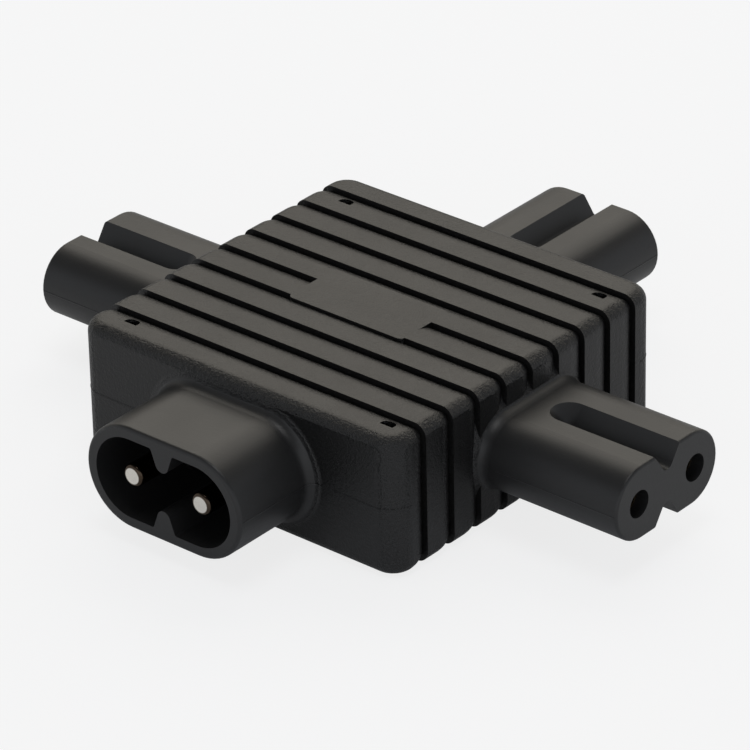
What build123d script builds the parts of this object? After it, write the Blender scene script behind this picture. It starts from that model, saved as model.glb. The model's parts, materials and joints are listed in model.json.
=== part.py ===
from build123d import *
from math import radians, sin, tan
import os

# Moulded splitter for figure-eight mains leads: a square ribbed block with one
# shrouded inlet on its front (-Y) and three figure-eight noses on its right, back
# and left. Millimetres, +Z up. It is built round the block's middle, and stands in
# the end with the middle of its whole outline on the origin.

# Block
block_width = 40.0
block_depth = 40.0
block_height = 15.0
plan_radius = 2.5
edge_radius = 1.4

# Ribs: each land ends in a rounded fall to the foot of the next rib's square step
rib_count = 10
rib_pitch = 4.0
first_step = 4.6
step_depth = 0.7
fall_run = 2.1

# Bare label pad between the middle ribs
pad_width = 14.4
pad_length = 7.1
pad_thickness = 1.0
pad_corner = 0.6
pad_shift_x = 0.3
pad_shift_y = -0.35

# Marks of the pins that held the inner carrier in the mould
mark_radius = 0.77
mark_length = 1.1
mark_spread = 16.1
mark_shift_x = 0.8
mark_from_step = 2.1

# Contacts, shared by the inlet and the noses
contact_pitch = 8.6
pin_radius = 1.2
pin_tip_round = 0.4
pin_root_radius = 1.5

# Figure-eight noses
nose_length = 16.5
nose_width = 15.6
nose_height = 7.8
nose_edge = 0.3
flare_radius = 1.9
flare_margin = 0.1
trench_start = 3.0
trench_depth = 2.15
trench_root = 0.85
trench_half_angle = 34.0
contact_mouth_radius = 1.425
contact_mouth_depth = 1.5

# Shrouded inlet
shroud_length = 10.2
shroud_width = 19.4
shroud_set_in = 2.0
shroud_edge = 0.4
shroud_flare = 1.3
recess_width = 16.9
recess_height = 8.6
recess_depth = 13.5
ridge_reach = 2.1
ridge_tip = 0.8
ridge_half_angle = 20.0
ridge_root = 0.3
pin_setback = 0.45

# Inner carrier, in two halves
carrier_reach = 17.0
carrier_front = 18.0
carrier_height = 7.0
carrier_corner = 1.5
carrier_side_gap = 0.9
peg_radius = 1.0
peg_height = 2.0
peg_spread = 12.5
fit_gap = 0.1

# Stamped bus frames, one above and one below the sleeves' tongues
bus_thickness = 0.8
bus_strip = 3.4
bus_margin = 1.5
separator_half = 9.5

# Contact sleeves and rivets
sleeve_wall = 0.4
sleeve_bore = 1.25
seam_width = 0.4
tongue_thickness = 0.8
tongue_width = 3.0
tongue_end = 10.6
collar_radius = 1.9
collar_thickness = 0.8
collar_inset = 0.4
rivet_radius = 0.75
rivet_head_radius = 1.3
rivet_head_height = 0.5
rivet_from_end = 1.9
rivet_gap = 0.03

# Overlap for clean cuts, and how near a face or corner must be to count as found
over = 1.0
near = 0.01

# Places that follow from the sizes above
axis_height = block_height / 2
half_width = block_width / 2
half_depth = block_depth / 2
contact_offset = contact_pitch / 2
nose_tip = half_width + nose_length
mouth_y = -half_depth - shroud_length
shroud_height = block_height - 2 * shroud_set_in
recess_floor = mouth_y + recess_depth
sleeve_radius = sleeve_bore + sleeve_wall
rivet_place = tongue_end + rivet_from_end
bus_reach = rivet_place + bus_margin
step_places = [-half_depth + first_step + rib_pitch * i for i in range(rib_count - 1)]
outline_middle = (nose_tip + mouth_y) / 2


def block_solid():
    body = extrude(RectangleRounded(block_width, block_depth, plan_radius), block_height)
    rims = body.faces().sort_by(Axis.Z)[0].edges() + body.faces().sort_by(Axis.Z)[-1].edges()
    return fillet(rims, edge_radius)


def groove_ring():
    # One groove's section swept over half of the block's outline, then mirrored
    top = block_height
    foot = (0, top - step_depth)
    land_end = (-fall_run, top)
    section = make_face(
        Line((0, top + over), foot)
        + TangentArc(land_end, foot, tangent=(1, 0))
        + Line(land_end, (-fall_run, top + over))
        + Line((-fall_run, top + over), (0, top + over))
    )
    route = Plane.XZ * FilletPolyline(
        (0, top), (half_width, top), (half_width, 0), (0, 0), radius=edge_radius
    )
    half = sweep(Plane.YZ * section, path=route)
    return half + mirror(half, about=Plane.YZ)


def ribbed_block():
    ring = groove_ring()
    return block_solid() - [Pos(0, y, 0) * ring for y in step_places]


def label_pad():
    plate = extrude(RectangleRounded(pad_width, pad_length, pad_corner), pad_thickness)
    return Pos(pad_shift_x, pad_shift_y, block_height - pad_thickness) * plate


def pin_mark():
    # Half-round hole with its straight side at the front, down to the carrier
    bottom = axis_height + carrier_height / 2
    disc = Pos(0, mark_length - mark_radius) * Circle(mark_radius)
    front = Pos(0, (mark_length - mark_radius) / 2) * Rectangle(2 * mark_radius, mark_length - mark_radius)
    below = Pos(0, -mark_radius) * Rectangle(2 * mark_radius + over, 2 * mark_radius)
    return Pos(0, 0, bottom) * extrude(disc + front - below, block_height - bottom + over)


def pin_marks():
    upper = [
        Pos(mark_shift_x + side * mark_spread, step - mark_from_step, 0) * pin_mark()
        for side in (-1, 1)
        for step in (step_places[0], step_places[-1])
    ]
    middle = Plane.XY.offset(axis_height)
    return upper + [mirror(hole, about=middle) for hole in upper]


def wedge_point(tip_radius, half_angle):
    # How far the sharp point lies beyond the rounded tip
    return tip_radius * (1 / sin(radians(half_angle)) - 1)


def wedge_reach(depth, tip_radius, half_angle):
    # Half the wedge's width at this height above its rounded tip
    return (depth + wedge_point(tip_radius, half_angle)) * tan(radians(half_angle))


def rounded_wedge(depth, tip_radius, half_angle):
    # Wedge whose rounded tip points down at the origin
    half = wedge_reach(depth, tip_radius, half_angle)
    point = -wedge_point(tip_radius, half_angle)
    face = make_face(Polyline((half, depth), (0, point), (-half, depth), close=True))
    return fillet(face.vertices().sort_by(Axis.Y)[0], tip_radius)


def trench(side):
    # Straight V with a round root, and a cone-shaped end near the block
    wedge = rounded_wedge(trench_depth + over, trench_root, trench_half_angle)
    half = wedge & (Pos(nose_width / 2, 0) * Rectangle(nose_width, nose_width))
    centre = trench_start + wedge_reach(trench_depth, trench_root, trench_half_angle)
    run = extrude(Plane.YZ.offset(centre) * wedge, nose_length - centre + over)
    end = Pos(centre, 0, 0) * revolve(Plane.YZ * half, Axis.Z)
    cutter = Pos(0, 0, nose_height / 2 - trench_depth) * (run + end)
    return cutter if side > 0 else mirror(cutter, about=Plane.XY)


def nose(sink):
    # Points along +X from the block's face at x = 0, with its axis through the origin.
    # The flare runs out on a plane sunk below the rib lands, so it closes the grooves.
    root = Plane.YZ.offset(-sink)
    stem = extrude(root * SlotOverall(nose_width, nose_height), nose_length + sink)
    spread = 2 * (flare_radius + flare_margin)
    plate = extrude(root * SlotOverall(nose_width + spread, nose_height + spread), -step_depth)
    body = plate + stem
    seat = body.faces().filter_by(Axis.X).sort_by(Axis.X)[1]
    body = fillet(seat.inner_wires()[0].edges(), flare_radius)
    tip = body.faces().sort_by(Axis.X)[-1]
    body = fillet(tip.edges(), nose_edge)
    return body - trench(1) - trench(-1)


def noses():
    side_nose = Pos(half_width, 0, axis_height) * nose(step_depth)
    back_nose = Rot(0, 0, 90) * Pos(half_depth, 0, axis_height) * nose(0)
    return [side_nose, mirror(side_nose, about=Plane.YZ), back_nose]


def inlet_shroud():
    front = Plane.XZ.offset(half_depth - over)
    middle = Pos(0, axis_height)
    outside = extrude(front * middle * SlotOverall(shroud_width, shroud_height), shroud_length + over)
    mouth = outside.faces().sort_by(Axis.Y)[0]
    return fillet(mouth.edges(), shroud_edge)


def inlet_recess():
    opening = SlotOverall(recess_width, recess_height)
    ridge_depth = recess_height / 2 - ridge_reach
    ridge = Pos(0, ridge_reach) * rounded_wedge(ridge_depth + over, ridge_tip, ridge_half_angle)
    opening -= ridge + mirror(ridge, about=Plane.XZ)
    foot = wedge_reach(ridge_depth, ridge_tip, ridge_half_angle)
    corners = [v for v in opening.vertices() if abs(abs(v.X) - foot) < near]
    opening = fillet(corners, ridge_root)
    face = Plane.XZ.offset(-mouth_y) * Pos(0, axis_height) * opening
    return extrude(face, -recess_depth)


def carrier_outline():
    # Set back behind the inlet, where its face is the recess's floor
    corner_plan = RectangleRounded(2 * carrier_reach, carrier_reach + carrier_front, carrier_corner)
    plan = Pos(0, (carrier_reach - carrier_front) / 2) * corner_plan
    notch_width = shroud_width + 2 * carrier_side_gap
    notch = Pos(0, recess_floor - carrier_front) * Rectangle(notch_width, 2 * carrier_front)
    return plan - notch


def contact_turns():
    # The line contacts stand clockwise of the neutral ones on every side
    return [(90 * quarter, side) for quarter in range(4) for side in (-1, 1)]


def sleeve_space():
    # Bore of the housing round one sleeve, with the narrower mouth in the nose's end
    back = Plane.YZ.offset(carrier_reach)
    barrel = extrude(back * Circle(sleeve_radius), nose_tip - contact_mouth_depth - carrier_reach)
    mouth = extrude(back * Circle(contact_mouth_radius), nose_tip - carrier_reach + over)
    return Pos(0, 0, axis_height) * (barrel + mouth)


def housing():
    body = ribbed_block() + label_pad() + inlet_shroud()
    front = body.faces().filter_by(Axis.Y).sort_by(Axis.Y)
    seat = [f for f in front if abs(f.center().Y + half_depth) < near and f.inner_wires()][0]
    body = fillet(seat.inner_wires()[0].edges(), shroud_flare)
    for piece in noses():
        body += piece
    core = extrude(carrier_outline(), carrier_height)
    body -= Pos(0, 0, axis_height - carrier_height / 2) * core
    body -= inlet_recess()
    for turn in (0, 90, 180):
        for side in (-1, 1):
            body -= Rot(0, 0, turn) * Pos(0, side * contact_offset, 0) * sleeve_space()
    return body - pin_marks()


def tongue(start, end):
    # Flat tail along X, with a round end and its rivet hole
    flat = Pos((start + end) / 2, 0) * Rectangle(start - end, tongue_width)
    flat -= Pos(rivet_place, 0) * Circle(rivet_radius + rivet_gap)
    return Pos(0, 0, axis_height - tongue_thickness / 2) * extrude(flat, tongue_thickness)


def contact_sleeve():
    # Rolled tube along +X with its seam on top; the tail reaches in to the bus frame
    length = nose_tip - contact_mouth_depth - carrier_reach
    seam = Pos(0, sleeve_radius) * Rectangle(seam_width, 4 * sleeve_wall)
    ring = Circle(sleeve_radius) - Circle(sleeve_bore) - seam
    tube = extrude(Plane.YZ.offset(carrier_reach) * ring, length)
    neck = extrude(Plane.YZ.offset(carrier_reach) * Circle(sleeve_radius), sleeve_wall)
    body = Pos(0, 0, axis_height) * (tube + neck)
    return body + tongue(carrier_reach + sleeve_wall / 2, tongue_end)


def inlet_pin():
    # Turned pin along +X with a domed tip, a thicker root that ends level with the
    # recess's floor, a locking collar and a flattened tail
    tip = -mouth_y - pin_setback
    floor = -recess_floor
    shank = extrude(Plane.YZ.offset(floor) * Circle(pin_radius), tip - floor)
    shank = fillet(shank.faces().sort_by(Axis.X)[-1].edges(), pin_tip_round)
    root_end = floor - 2 * collar_inset - collar_thickness
    root = extrude(Plane.YZ.offset(root_end) * Circle(pin_root_radius), floor - root_end)
    collar_place = floor - collar_inset - collar_thickness
    collar = extrude(Plane.YZ.offset(collar_place) * Circle(collar_radius), collar_thickness)
    body = Pos(0, 0, axis_height) * (shank + root + collar)
    return body + tongue(root_end + pin_radius / 2, tongue_end)


def bus_plan(gap):
    # Four strips round a square hole, each long on one side only, like a windmill
    inner = contact_offset + bus_strip / 2
    length = bus_reach + inner
    strip = Pos((bus_reach - inner) / 2, -contact_offset) * Rectangle(length + 2 * gap, bus_strip + 2 * gap)
    frame = strip
    for turn in (90, 180, 270):
        frame += Rot(0, 0, turn) * strip
    return frame


def bus_frame():
    # The line frame lies on top of the tongues
    plan = bus_plan(0)
    for turn in (0, 90, 180, 270):
        plan -= Rot(0, 0, turn) * Pos(rivet_place, -contact_offset) * Circle(rivet_radius + rivet_gap)
    return Pos(0, 0, axis_height + tongue_thickness / 2) * extrude(plan, bus_thickness)


def rivet():
    # Upright, through a tongue and the line frame above it
    low = -tongue_thickness / 2
    grip = tongue_thickness + bus_thickness
    shank = Pos(0, 0, low) * extrude(Circle(rivet_radius), grip)
    foot = Pos(0, 0, low - rivet_head_height) * extrude(Circle(rivet_head_radius), rivet_head_height)
    head = Pos(0, 0, low + grip) * extrude(Circle(rivet_head_radius), rivet_head_height)
    return Pos(rivet_place, 0, axis_height) * (foot + shank + head)


def to_neutral(shape):
    # The neutral circuit is the line one turned over about the X axis through the middle
    return Pos(0, 0, 2 * axis_height) * mirror(mirror(shape, about=Plane.XY), about=Plane.XZ)


def carrier_pockets():
    # Room for the metal parts, shared by both halves
    bus_room = Pos(0, 0, axis_height + tongue_thickness / 2) * extrude(bus_plan(fit_gap), bus_thickness + fit_gap)
    sheet = Box(2 * separator_half + 2 * fit_gap, 2 * separator_half + 2 * fit_gap, tongue_thickness)
    rooms = [bus_room, to_neutral(bus_room), Pos(0, 0, axis_height) * sheet]
    tail_width = tongue_width + 2 * fit_gap
    tail_start = tongue_end - fit_gap
    tail = Pos((tail_start + carrier_front) / 2 + over / 2, 0, axis_height) * Box(
        carrier_front - tail_start + over, tail_width, tongue_thickness
    )
    well_height = tongue_thickness + bus_thickness + 2 * rivet_head_height + 2 * fit_gap
    well = Pos(rivet_place, 0, axis_height + bus_thickness / 2) * Cylinder(
        rivet_head_radius + fit_gap, well_height
    )
    for turn, side in contact_turns():
        place = Rot(0, 0, turn) * Pos(0, side * contact_offset, 0)
        rooms.append(place * tail)
        rooms.append(place * (well if side < 0 else to_neutral(well)))
    return rooms


def pin_rooms():
    # Bores and collar grooves for the two inlet pins
    bore = Plane.YZ.offset(tongue_end) * Circle(pin_root_radius)
    shank = extrude(bore, carrier_front - tongue_end + over)
    groove_place = -recess_floor - collar_inset - collar_thickness
    groove = extrude(Plane.YZ.offset(groove_place) * Circle(collar_radius), collar_thickness)
    room = Pos(0, 0, axis_height) * (shank + groove)
    return [Rot(0, 0, -90) * Pos(0, side * contact_offset, 0) * room for side in (-1, 1)]


def carrier_halves():
    low = axis_height - carrier_height / 2
    half = extrude(carrier_outline(), carrier_height / 2)
    rooms = carrier_pockets() + pin_rooms()
    lower = Pos(0, 0, low) * half - rooms
    upper = Pos(0, 0, axis_height) * half - rooms
    for x in (-peg_spread, peg_spread):
        for y in (-peg_spread, peg_spread):
            lower += Pos(x, y, axis_height + peg_height / 2) * Cylinder(peg_radius, peg_height)
            hole_height = peg_height + fit_gap
            upper -= Pos(x, y, axis_height + hole_height / 2) * Cylinder(peg_radius + fit_gap, hole_height)
    return lower, upper


def separator():
    sheet = RectangleRounded(2 * separator_half, 2 * separator_half, carrier_corner)
    return Pos(0, 0, axis_height - tongue_thickness / 2) * extrude(sheet, tongue_thickness)


def build_parts():
    parts = {"housing": housing(), "bus_separator": separator()}
    parts["carrier_lower"], parts["carrier_upper"] = carrier_halves()
    parts["line_bus"] = bus_frame()
    parts["neutral_bus"] = to_neutral(bus_frame())
    names = {0: "right", 90: "back", 180: "left", 270: "front"}
    for turn, side in contact_turns():
        circuit = "line" if side < 0 else "neutral"
        place = Rot(0, 0, turn) * Pos(0, side * contact_offset, 0)
        contact = inlet_pin() if names[turn] == "front" else contact_sleeve()
        kind = "pin" if names[turn] == "front" else "sleeve"
        fastener = rivet() if side < 0 else to_neutral(rivet())
        parts[f"{names[turn]}_{circuit}_{kind}"] = place * contact
        parts[f"{names[turn]}_{circuit}_rivet"] = place * fastener
    return parts


os.makedirs("parts", exist_ok=True)
for name, shape in build_parts().items():
    export_step(Pos(0, -outline_middle, 0) * shape, f"parts/{name}.step")
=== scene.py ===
import json
import math

import bpy
import numpy as np
from mathutils import Matrix, Vector


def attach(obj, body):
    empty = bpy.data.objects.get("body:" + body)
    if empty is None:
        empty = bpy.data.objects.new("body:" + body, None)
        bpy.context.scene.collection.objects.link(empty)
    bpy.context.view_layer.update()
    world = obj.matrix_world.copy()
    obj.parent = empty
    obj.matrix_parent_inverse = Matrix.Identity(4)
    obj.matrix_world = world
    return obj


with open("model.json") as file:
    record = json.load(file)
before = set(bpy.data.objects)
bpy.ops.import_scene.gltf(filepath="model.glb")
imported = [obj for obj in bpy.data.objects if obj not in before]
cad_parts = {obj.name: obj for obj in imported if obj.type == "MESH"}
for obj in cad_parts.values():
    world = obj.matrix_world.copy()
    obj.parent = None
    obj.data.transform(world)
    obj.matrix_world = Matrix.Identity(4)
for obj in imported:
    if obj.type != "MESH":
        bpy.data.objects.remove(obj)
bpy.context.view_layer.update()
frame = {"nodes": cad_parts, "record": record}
mm = 0.001
middleY = -3.15  # the block's own middle lies this far in front of the origin, in millimetres
white = (1, 1, 1, 1)
print("frame loaded,", len(frame["nodes"]), "nodes")


# The camera stands where the photograph was taken from
cameraView = {
    "place": (291.55, -343.01, 257.07),  # millimetres
    "azimuth": 40.554,  # degrees
    "elevation": 29.199,
    "roll": 1.255,
    "lens": 251.65,
    "sensor": 36.0,
    "clip": (0.01, 20.0),  # metres
}


def makeCamera(view):
    # right, up and back are the camera's axes; roll turns the first two about the third
    azimuth, elevation, roll = (math.radians(view[key]) for key in ("azimuth", "elevation", "roll"))
    right = Vector((math.cos(azimuth), math.sin(azimuth), 0))
    back = Vector((
        math.sin(azimuth) * math.cos(elevation),
        -math.cos(azimuth) * math.cos(elevation),
        math.sin(elevation),
    ))
    up = back.cross(right)
    sideways = right * math.cos(roll) - up * math.sin(roll)
    upwards = right * math.sin(roll) + up * math.cos(roll)
    turn = Matrix((sideways, upwards, back)).transposed()
    lensData = bpy.data.cameras.new("photoCamera")
    lensData.lens = view["lens"]
    lensData.sensor_width = view["sensor"]
    lensData.clip_start, lensData.clip_end = view["clip"]
    camera = bpy.data.objects.new("photoCamera", lensData)
    camera.matrix_world = Matrix.Translation(Vector(view["place"]) * mm) @ turn.to_4x4()
    bpy.context.collection.objects.link(camera)
    bpy.context.scene.camera = camera


makeCamera(cameraView)
print("camera placed")


def addNode(tree, kind, place, inputs=None, **settings):
    # One node with its settings; an input is linked where it is given a socket, and set otherwise
    node = tree.nodes.new(kind)
    node.location = place
    for key, value in settings.items():
        setattr(node, key, value)
    for key, value in (inputs or {}).items():
        if isinstance(value, bpy.types.NodeSocket):
            tree.links.new(value, node.inputs[key])
        else:
            node.inputs[key].default_value = value
    return node


def newMaterial(name):
    # An empty node tree with its output
    material = bpy.data.materials.new(name)
    material.use_nodes = True
    tree = material.node_tree
    tree.nodes.clear()
    output = addNode(tree, "ShaderNodeOutputMaterial", (900, 0))
    return material, tree, output


# In the helpers below each value is a socket or a number, and the node's own output is returned
def mathNode(tree, operation, place, *values):
    inputs = dict(enumerate(values))
    return addNode(tree, "ShaderNodeMath", place, inputs, operation=operation).outputs[0]


def rangeNode(tree, place, value, source=(0, 1), target=(0, 1), **settings):
    # value is taken from the source range to the target range, and held at its ends
    keys = ("Value", "From Min", "From Max", "To Min", "To Max")
    inputs = dict(zip(keys, (value, *source, *target)))
    return addNode(tree, "ShaderNodeMapRange", place, inputs, **settings).outputs[0]


def noiseNode(tree, place, vector, scale, detail):
    inputs = {"Vector": vector, "Scale": scale, "Detail": detail}
    return addNode(tree, "ShaderNodeTexNoise", place, inputs).outputs["Fac"]


def mixColours(tree, place, share, first, second):
    # The first colour where share is 0, the second where it is 1
    inputs = {"Factor": share, "A": first, "B": second}
    return addNode(tree, "ShaderNodeMix", place, inputs, data_type="RGBA").outputs["Result"]


def darker(colour, share):
    return tuple(share * part for part in colour[:3]) + (1,)


def makeSurface(tree, output, height, shaderInputs, strength=1.0, distance=1.0):
    # A principled shader whose normal is bent by height
    bumpInputs = {"Strength": strength, "Distance": distance, "Height": height}
    bump = addNode(tree, "ShaderNodeBump", (200, -260), bumpInputs)
    inputs = {**shaderInputs, "Normal": bump.outputs[0]}
    shader = addNode(tree, "ShaderNodeBsdfPrincipled", (520, 0), inputs)
    tree.links.new(shader.outputs[0], output.inputs["Surface"])


# Black moulding compound: fine spark-eroded grain on the block, satin on the noses and shroud
blackPlastic = {
    "colour": (0.0045, 0.0045, 0.0045, 1),
    "paleColour": (0.0066, 0.0065, 0.0063, 1),
    "satinColour": (0.0165, 0.0165, 0.0168, 1),
    "blotchScale": 160.0,
    "blotchDetail": 4.0,
    "blockRoughness": 0.40,
    "satinRoughness": 0.41,
    "roughnessSpread": 0.05,
    "grainScales": (5200.0, 2300.0),
    "grainDetail": 2.0,
    "blockGrain": 0.040,  # millimetres from valley to peak
    "edgeGrain": 0.150,  # the same on rounded edges and falls, which the tool left coarse
    "flatFrom": 0.955,  # a face counts as rounded where its normal's largest part is below these
    "flatTo": 0.998,
    "satinGrain": 0.006,
    "blockHalf": 20.01,  # the grain ends here, measured from the block's middle
    "blockFade": 0.20,
    "ior": 1.5,
}


def makeBlackPlastic(look):
    material, tree, output = newMaterial("blackMoulding")
    coordinates = addNode(tree, "ShaderNodeTexCoord", (-1500, 0))
    centred = addNode(tree, "ShaderNodeMapping", (-1320, 0), {
        "Vector": coordinates.outputs["Object"],
        "Location": (0, -middleY * mm, 0),
    }).outputs[0]
    axes = addNode(tree, "ShaderNodeSeparateXYZ", (-1140, 200), {0: centred}).outputs

    # Block mask: 1 where both |x| and |y| are inside the block's half width
    acrossX = mathNode(tree, "ABSOLUTE", (-960, 300), axes["X"])
    acrossY = mathNode(tree, "ABSOLUTE", (-960, 160), axes["Y"])
    further = mathNode(tree, "MAXIMUM", (-800, 230), acrossX, acrossY)
    fadeStart = (look["blockHalf"] + look["blockFade"]) * mm
    onBlock = rangeNode(tree, (-640, 230), further, (fadeStart, look["blockHalf"] * mm))

    blotch = noiseNode(tree, (-960, 0), centred, look["blotchScale"], look["blotchDetail"])
    shade = mixColours(tree, (-400, 420), blotch, look["colour"], look["paleColour"])
    body = mixColours(tree, (-160, 420), onBlock, look["satinColour"], shade)

    spread = look["roughnessSpread"]
    roughEnds = (look["satinRoughness"], look["blockRoughness"])
    roughBase = rangeNode(tree, (-460, 100), onBlock, target=roughEnds)
    swing = mathNode(tree, "MULTIPLY_ADD", (-640, 0), blotch, spread * 2, -spread)
    rough = mathNode(tree, "ADD", (-260, 60), roughBase, swing)

    # Rounded faces: the largest of the normal's three parts falls below 1
    facing = addNode(tree, "ShaderNodeVectorMath", (-1320, -600), {
        0: coordinates.outputs["Normal"],
    }, operation="ABSOLUTE").outputs[0]
    parts = addNode(tree, "ShaderNodeSeparateXYZ", (-1140, -600), {0: facing}).outputs
    larger = mathNode(tree, "MAXIMUM", (-960, -660), parts["X"], parts["Y"])
    largest = mathNode(tree, "MAXIMUM", (-800, -620), larger, parts["Z"])
    grainEnds = (look["edgeGrain"] * mm, look["blockGrain"] * mm)
    flatEnds = (look["flatFrom"], look["flatTo"])
    blockDepth = rangeNode(tree, (-640, -560), largest, flatEnds, grainEnds)

    fine, coarse = (
        noiseNode(tree, (-960, -260 - 200 * i), centred, scale, look["grainDetail"])
        for i, scale in enumerate(look["grainScales"])
    )
    grain = mathNode(tree, "ADD", (-760, -340), fine, coarse)
    depth = rangeNode(tree, (-460, -200), onBlock, target=(look["satinGrain"] * mm, blockDepth))
    height = mathNode(tree, "MULTIPLY", (-260, -260), grain, depth)
    makeSurface(tree, output, height, {"Base Color": body, "Roughness": rough, "IOR": look["ior"]})
    return material


blackMoulding = makeBlackPlastic(blackPlastic)


metals = {
    "pin": {
        "name": "brightNickel",
        "colour": (0.97, 0.93, 0.85, 1),
        "roughness": 0.18,
        "scratch": 0.0015,
        # painted shade: a dark colour for the pin's chamfer and shaft, where they reflect the dark
        # cavity
        "paintedShade": (0.075, 0.055, 0.040, 1),
        "pitch": 8.6,
        "axisHeight": 7.5,
        "endRadius": 0.82,
        "endFade": (-0.03, 0.05),
    },
    "sleeve": {
        "name": "springBrass",
        "colour": (0.20, 0.145, 0.075, 1),
        "roughness": 0.36,
        "scratch": 0.003,
    },
    "bus": {
        "name": "stampedBrass",
        "colour": (0.72, 0.53, 0.24, 1),
        "roughness": 0.36,
        "scratch": 0.004,
    },
    "rivet": {
        "name": "turnedBrass",
        "colour": (0.68, 0.49, 0.22, 1),
        "roughness": 0.30,
        "scratch": 0.003,
    },
}

# What the four metals share
metalWear = {
    "cloudScale": 900.0,
    "cloudDetail": 3.0,
    "scratchScale": 6000.0,
    "scratchDetail": 2.0,
    "roughnessSpread": 0.06,
    "darkShare": 0.85,
}


def addPaintedPinShade(tree, place, colour, look):
    # Painted shade: away from a pin's flat end the colour turns dark, standing for the dark cavity
    # that the chamfer and shaft reflect, so only the flat end stays bright. The dark part lies
    # further than endRadius from the pin's axis, and the two axes stand at plus and minus half the
    # pitch
    axes = addNode(tree, "ShaderNodeSeparateXYZ", (-700, 620), {0: place}).outputs
    offset = mathNode(tree, "ABSOLUTE", (-540, 700), axes["X"])
    across = mathNode(tree, "SUBTRACT", (-400, 700), offset, look["pitch"] / 2 * mm)
    above = mathNode(tree, "SUBTRACT", (-400, 540), axes["Z"], look["axisHeight"] * mm)
    acrossSquared = mathNode(tree, "POWER", (-240, 700), across, 2)
    aboveSquared = mathNode(tree, "POWER", (-240, 540), above, 2)
    squares = mathNode(tree, "ADD", (-90, 620), acrossSquared, aboveSquared)
    radius = mathNode(tree, "SQRT", (60, 620), squares)
    edgeEnds = [(look["endRadius"] + fade) * mm for fade in look["endFade"]]
    edge = rangeNode(tree, (200, 620), radius, edgeEnds)
    return mixColours(tree, (60, 320), edge, colour, look["paintedShade"])


def makeMetal(look, wear):
    material, tree, output = newMaterial(look["name"])
    place = addNode(tree, "ShaderNodeTexCoord", (-900, 0)).outputs["Object"]
    cloud = noiseNode(tree, (-700, 120), place, wear["cloudScale"], wear["cloudDetail"])
    fine = noiseNode(tree, (-700, -160), place, wear["scratchScale"], wear["scratchDetail"])
    spread = wear["roughnessSpread"]
    roughEnds = (look["roughness"] - spread, look["roughness"] + spread)
    rough = rangeNode(tree, (-460, 120), cloud, target=roughEnds)
    dark = darker(look["colour"], wear["darkShare"])
    colour = mixColours(tree, (-460, 320), cloud, look["colour"], dark)
    # painted shade on each pin, away from its bright flat end
    if "paintedShade" in look:
        colour = addPaintedPinShade(tree, place, colour, look)
    height = mathNode(tree, "MULTIPLY", (-460, -160), fine, look["scratch"] * mm)
    makeSurface(tree, output, height, {"Base Color": colour, "Roughness": rough, "Metallic": 1.0})
    return material


innerPlastics = {
    "carrier": {"name": "carrierMoulding", "colour": (0.045, 0.045, 0.045, 1)},
    "separator": {"name": "insulatingSheet", "colour": (0.50, 0.43, 0.31, 1)},
}

# What the two inner plastics share
innerWear = {
    "cloudScale": 700.0,
    "cloudDetail": 4.0,
    "darkShare": 0.8,
    "roughness": 0.5,
    "bumpStrength": 0.3,
    "bumpDepth": 0.01,
}


def makeInnerPlastic(look, wear):
    material, tree, output = newMaterial(look["name"])
    place = addNode(tree, "ShaderNodeTexCoord", (-700, 0)).outputs["Object"]
    cloud = noiseNode(tree, (-500, 0), place, wear["cloudScale"], wear["cloudDetail"])
    dark = darker(look["colour"], wear["darkShare"])
    colour = mixColours(tree, (-260, 160), cloud, look["colour"], dark)
    shaderInputs = {"Base Color": colour, "Roughness": wear["roughness"]}
    makeSurface(tree, output, cloud, shaderInputs, wear["bumpStrength"], wear["bumpDepth"] * mm)
    return material


finishes = {"housing": blackMoulding}
finishes.update({slot: makeMetal(look, metalWear) for slot, look in metals.items()})
finishes.update({slot: makeInnerPlastic(look, innerWear) for slot, look in innerPlastics.items()})

for row in frame["record"]["subparts"]:
    piece = frame["nodes"][row["node"]]
    for slot in piece.material_slots:
        slot.material = finishes[row["material_slot"]]


# Parting line: a fine bead at mid height, where the halves of the mould met.
# Millimetres, from the block's middle
partingBead = {
    "height": 7.5,
    "halfWidth": 0.075,
    "rise": 0.035,
    "sunk": 0.02,
    "blockHalf": 20.0,
    "planRadius": 2.5,
    "noseHalf": 7.8,
    "noseEnd": 36.2,
    "shroudHalf": 9.7,
    "shroudEnd": 29.8,
    "noseFlare": 2.0,
    "shroudFlare": 1.4,
    "sectionPoints": 9,
    "arcPoints": 14,
    "nosePoints": 12,
}


def beadMesh(path, look):
    # Each path point (x, y) carries a half ellipse: out by rise times the cosine, up by half the
    # width times the sine, along the outline's outward side, which is the path's direction turned
    # a quarter turn to the right. The half ellipse's two ends are sunk below the outline
    along = np.gradient(path, axis=0)
    along /= np.linalg.norm(along, axis=1, keepdims=True)
    outward = np.stack((along[:, 1], -along[:, 0]), axis=1)
    turn = np.linspace(-math.pi / 2, math.pi / 2, look["sectionPoints"])
    out = look["rise"] * np.cos(turn)
    out[[0, -1]] -= look["sunk"]
    points = np.empty((len(path), len(turn), 3))
    points[..., :2] = path[:, None, :] + outward[:, None, :] * out[None, :, None]
    points[..., 1] += middleY
    points[..., 2] = look["halfWidth"] * np.sin(turn) + look["height"]
    row, column = np.meshgrid(np.arange(len(path) - 1), np.arange(len(turn) - 1), indexing="ij")
    first = (row * len(turn) + column).ravel()
    faces = np.stack((first, first + len(turn), first + len(turn) + 1, first + 1), axis=1)
    return points.reshape(-1, 3) * mm, faces


def arc(middle, radius, start, stop, count):
    # count points of a circle, middle plus radius times cosine and sine, from start to stop degrees
    angle = np.radians(np.linspace(start, stop, count))
    return np.array(middle) + radius * np.stack((np.cos(angle), np.sin(angle)), axis=1)


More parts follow.
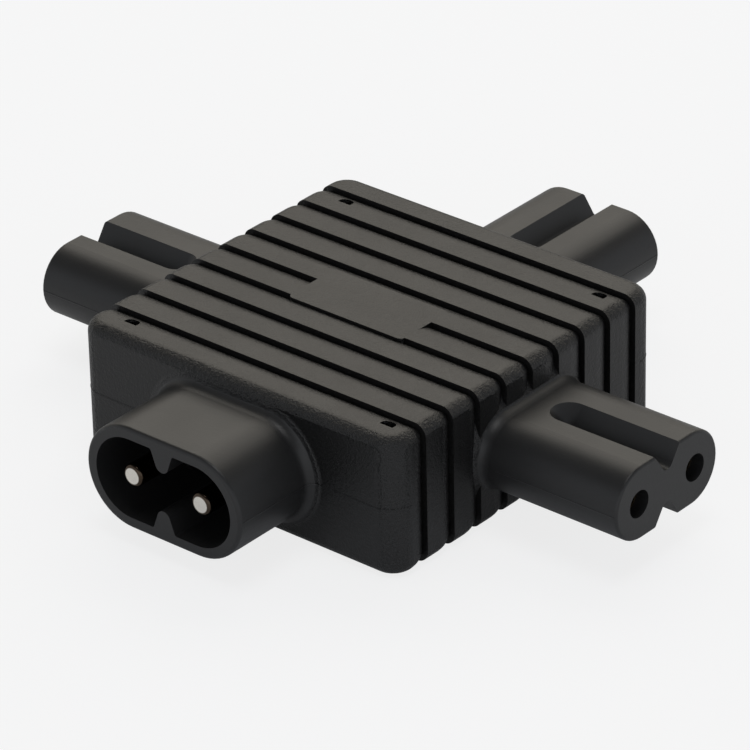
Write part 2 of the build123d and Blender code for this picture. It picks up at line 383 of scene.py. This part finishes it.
def beadPaths(look):
    # Open stretches of the outline at mid height, each followed with the moulding on its left:
    # straight lines, and quarter circles at the block's corners and the flared roots.
    # The left side mirrors the right
    half, corner, count = look["blockHalf"], look["planRadius"], look["arcPoints"]
    nose, noseFlare = look["noseHalf"], look["noseFlare"]
    shroud, shroudFlare = look["shroudHalf"], look["shroudFlare"]
    noseRoot = half + noseFlare
    frontRight = np.concatenate((
        [(shroud, -look["shroudEnd"])],
        arc((shroud + shroudFlare, -half - shroudFlare), shroudFlare, 180, 90, count),
        arc((half - corner, -half + corner), corner, -90, 0, count),
    ))
    along = np.linspace(noseRoot, look["noseEnd"], look["nosePoints"])
    noseFront = np.stack((along, np.full(len(along), -nose)), axis=1)
    backLeft = np.concatenate((
        arc((half - corner, half - corner), corner, 0, 90, count),
        arc((nose + noseFlare, noseRoot), noseFlare, 270, 180, count),
        [(nose, look["noseEnd"])],
    ))
    right = [frontRight, noseFront, (noseFront * (1, -1))[::-1], backLeft]
    return right + [(path * (-1, 1))[::-1] for path in right]


def makePartingBead(look):
    # Every stretch of the line goes into one mesh
    vertices, faces, start = [], [], 0
    for path in beadPaths(look):
        points, quads = beadMesh(path, look)
        vertices.append(points)
        faces.append(quads + start)
        start += len(points)
    vertices, faces = np.concatenate(vertices), np.concatenate(faces)
    mesh = bpy.data.meshes.new("partingLine")
    mesh.from_pydata(vertices.tolist(), [], faces.tolist())
    mesh.polygons.foreach_set("use_smooth", np.ones(len(faces), dtype=bool))
    mesh.update()
    bead = bpy.data.objects.new("partingLine", mesh)
    bpy.context.collection.objects.link(bead)
    mesh.materials.append(blackMoulding)
    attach(bead, "root")


makePartingBead(partingBead)
print("parting line made")


# White studio: a floor, and a wall all round, warm opposite the camera, cool at its sides and
# brightest behind it
studio = {
    "floorHalf": 3000.0,
    "floorColour": (0.84, 0.86, 0.90, 1),
    "cameraWhite": 0.75,  # how much of the floor's white doesn't take the shadow, to the camera
    "whiteStrength": 1.06,
    "mirrorWhite": 0.10,  # the same in gloss
    "farWall": 0.52,
    "sideWall": 0.58,
    "nearWall": 0.85,
    "farEdges": (-0.75, -0.15),  # cosines of the angle to the camera's side, far wall to side wall
    "nearEdges": (0.45, 0.85),  # and side wall to near wall
    "farTint": (1.0, 0.945, 0.84, 1),
    "coolTint": (0.92, 0.95, 1.0, 1),
    "wallTop": 0.55,  # sine of the elevation where the wall ends
    "wallFade": 0.20,
    "ceiling": 0.08,
}

# Soft lamps over the object: millimetres and watts
lamps = {
    "overhead": {
        "place": (-330, 560, 620),
        "aim": (0, 0, 0),
        "size": (900, 700),
        "power": 2.8,
        "colour": (1.0, 0.95, 0.86),
    },
    "zenith": {
        "place": (60, -60, 700),
        "aim": (0, 0, 0),
        "size": (320, 320),
        "power": 0.85,
        "colour": (1.0, 1.0, 1.0),
    },
}


def makeFloor(look):
    # Cloth that takes the shadow, mixed with plain white for the camera and for gloss
    material, tree, output = newMaterial("studioFloor")
    rays = addNode(tree, "ShaderNodeLightPath", (-700, 200)).outputs
    gloss, transmission = rays["Is Glossy Ray"], rays["Is Transmission Ray"]
    mirrored = mathNode(tree, "MAXIMUM", (-480, 100), gloss, transmission)
    mirroredPart = mathNode(tree, "MULTIPLY", (-300, 100), mirrored, look["mirrorWhite"])
    seenPart = mathNode(tree, "MULTIPLY", (-300, 260), rays["Is Camera Ray"], look["cameraWhite"])
    share = mathNode(tree, "MAXIMUM", (-120, 200), seenPart, mirroredPart)
    cloth = addNode(tree, "ShaderNodeBsdfDiffuse", (-120, -60), {"Color": look["floorColour"]})
    glow = addNode(tree, "ShaderNodeEmission", (-120, -220), {
        "Color": white,
        "Strength": look["whiteStrength"],
    })
    blend = addNode(tree, "ShaderNodeMixShader", (300, 0), {
        "Fac": share,
        1: cloth.outputs[0],
        2: glow.outputs[0],
    })
    tree.links.new(blend.outputs[0], output.inputs["Surface"])
    half = look["floorHalf"] * mm
    corners = [(-half, -half, 0), (half, -half, 0), (half, half, 0), (-half, half, 0)]
    mesh = bpy.data.meshes.new("studioFloor")
    mesh.from_pydata(corners, [], [(0, 1, 2, 3)])
    mesh.materials.append(material)
    floor = bpy.data.objects.new("studioFloor", mesh)
    bpy.context.collection.objects.link(floor)


def makeWorld(look, azimuth):
    # The wall's strength goes by the cosine to the camera's side, and by height to the ceiling's
    world = bpy.data.worlds.new("studioWorld")
    world.use_nodes = True
    tree = world.node_tree
    tree.nodes.clear()
    smooth = {"interpolation_type": "SMOOTHSTEP"}
    direction = addNode(tree, "ShaderNodeTexCoord", (-700, 0)).outputs["Generated"]
    axes = addNode(tree, "ShaderNodeSeparateXYZ", (-500, -100), {0: direction}).outputs
    cosine = addNode(tree, "ShaderNodeVectorMath", (-500, 100), {
        0: direction,
        1: (math.sin(azimuth), -math.cos(azimuth), 0),
    }, operation="DOT_PRODUCT").outputs["Value"]
    side = rangeNode(tree, (-300, 100), cosine, look["farEdges"], **smooth)
    farOrSide = rangeNode(tree, (-120, 100), side, target=(look["farWall"], look["sideWall"]))
    wallEnds = (farOrSide, look["nearWall"])
    wall = rangeNode(tree, (40, 100), cosine, look["nearEdges"], wallEnds, **smooth)

    heightEnds = (look["wallTop"] - look["wallFade"] / 2, look["wallTop"] + look["wallFade"] / 2)
    height = rangeNode(tree, (-300, -200), axes["Z"], heightEnds, **smooth)
    level = rangeNode(tree, (220, 0), height, target=(wall, look["ceiling"]))
    tint = mixColours(tree, (40, 340), side, look["farTint"], look["coolTint"])

    # The camera itself sees plain white
    toCamera = addNode(tree, "ShaderNodeLightPath", (220, 340)).outputs["Is Camera Ray"]
    background = addNode(tree, "ShaderNodeBackground", (660, 0), {
        "Color": mixColours(tree, (420, 320), toCamera, tint, white),
        "Strength": mathNode(tree, "MAXIMUM", (420, 100), level, toCamera),
    })
    output = addNode(tree, "ShaderNodeOutputWorld", (900, 0))
    tree.links.new(background.outputs[0], output.inputs["Surface"])
    bpy.context.scene.world = world


def makeLamp(name, look):
    lampData = bpy.data.lights.new(name, "AREA")
    lampData.shape = "RECTANGLE"
    lampData.size, lampData.size_y = (side * mm for side in look["size"])
    lampData.energy = look["power"]
    lampData.color = look["colour"]
    lamp = bpy.data.objects.new(name, lampData)
    lamp.location = Vector(look["place"]) * mm
    aim = Vector(look["aim"]) * mm
    lamp.rotation_mode = "QUATERNION"
    lamp.rotation_quaternion = (aim - lamp.location).to_track_quat("-Z", "Y")
    lamp.visible_camera = False
    bpy.context.collection.objects.link(lamp)


makeFloor(studio)
makeWorld(studio, math.radians(cameraView["azimuth"]))
for lampName, lampLook in lamps.items():
    makeLamp(lampName, lampLook)
bpy.context.scene.view_settings.view_transform = "Standard"
print("studio lit by", len(lamps), "lamps")
